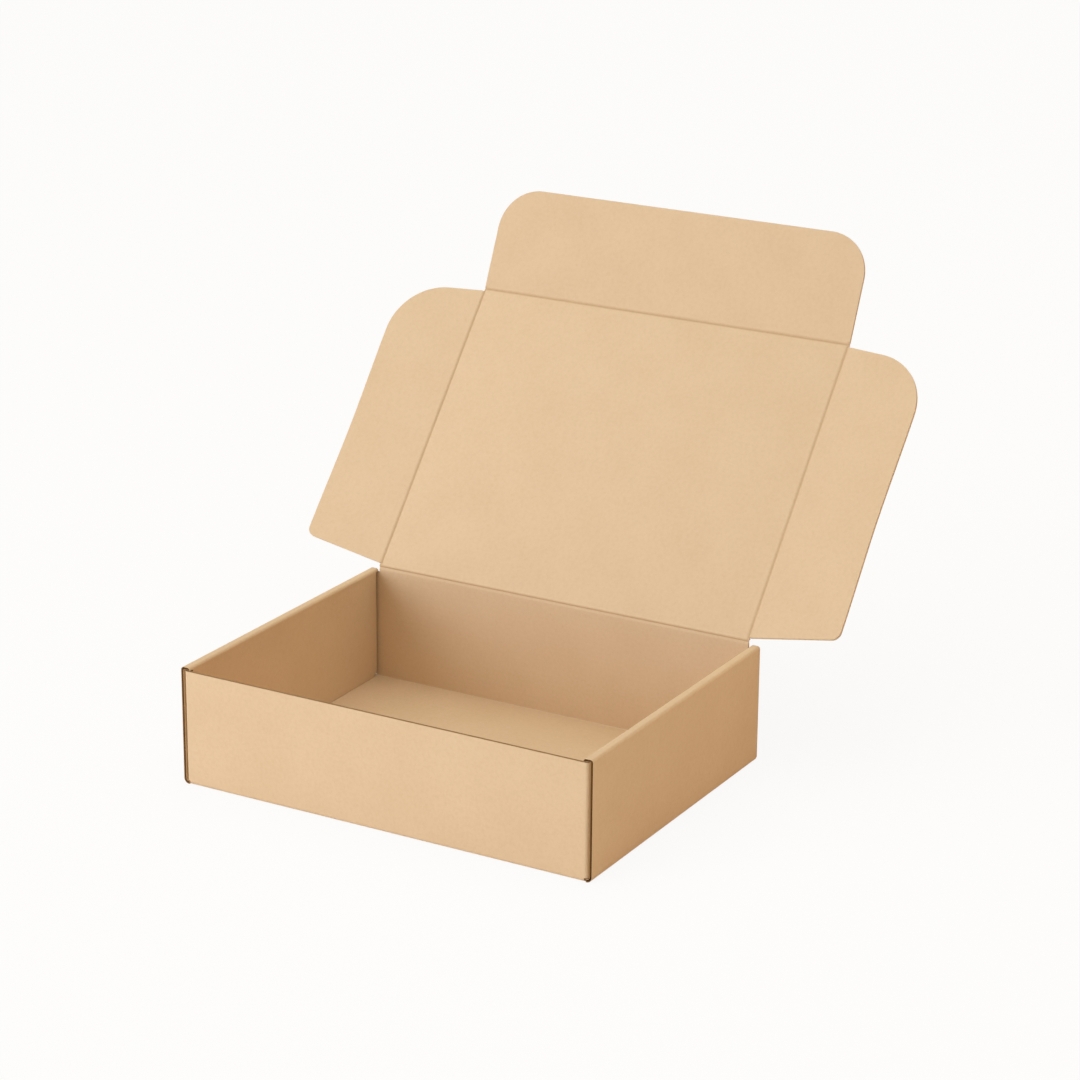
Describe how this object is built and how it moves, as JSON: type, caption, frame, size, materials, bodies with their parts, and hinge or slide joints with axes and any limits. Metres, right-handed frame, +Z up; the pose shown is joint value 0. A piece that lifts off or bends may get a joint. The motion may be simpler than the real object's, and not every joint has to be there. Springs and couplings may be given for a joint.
{
  "type": "corrugated mailer box",
  "caption": "Open corrugated mailer box with roll-over side walls locked by tabs, and a hinged tuck-in lid with side flaps and a front flap.",
  "frame": {"origin": "centre of the tray's underside, on the surface that the box stands on", "axes": "+X to the box's right, +Y from the front wall to the hinge at the back, +Z up"},
  "size_m": [0.3974, 0.3841, 0.3075],
  "materials": {
    "kraft_board": "plain uncoated kraft corrugated board"
  },
  "bodies": {
    "tray": {"tray": "kraft_board"},
    "lid": {"lid": "kraft_board"},
    "left_flap": {"left_flap": "kraft_board"},
    "right_flap": {"right_flap": "kraft_board"},
    "front_flap": {"front_flap": "kraft_board"}
  },
  "joints": [
    {"name": "lid_hinge", "type": "hinge", "parent": "tray", "child": "lid", "pos_m": [0, 0.1079, 0.0798], "axis": [1, 0, 0], "range_deg": [-49.7, 130.3]},
    {"name": "left_flap_hinge", "type": "hinge", "parent": "lid", "child": "left_flap", "pos_m": [-0.1373, 0.1079, 0.0798], "axis": [0, 0.6468, 0.7627], "range_deg": [-4.5, 85.5]},
    {"name": "right_flap_hinge", "type": "hinge", "parent": "lid", "child": "right_flap", "pos_m": [0.1373, 0.1079, 0.0798], "axis": [0, -0.6468, -0.7627], "range_deg": [-4.5, 85.5]},
    {"name": "front_flap_hinge", "type": "hinge", "parent": "lid", "child": "front_flap", "pos_m": [0, 0.2447, 0.2411], "axis": [1, 0, 0], "range_deg": [-16, 74]}
  ]
}
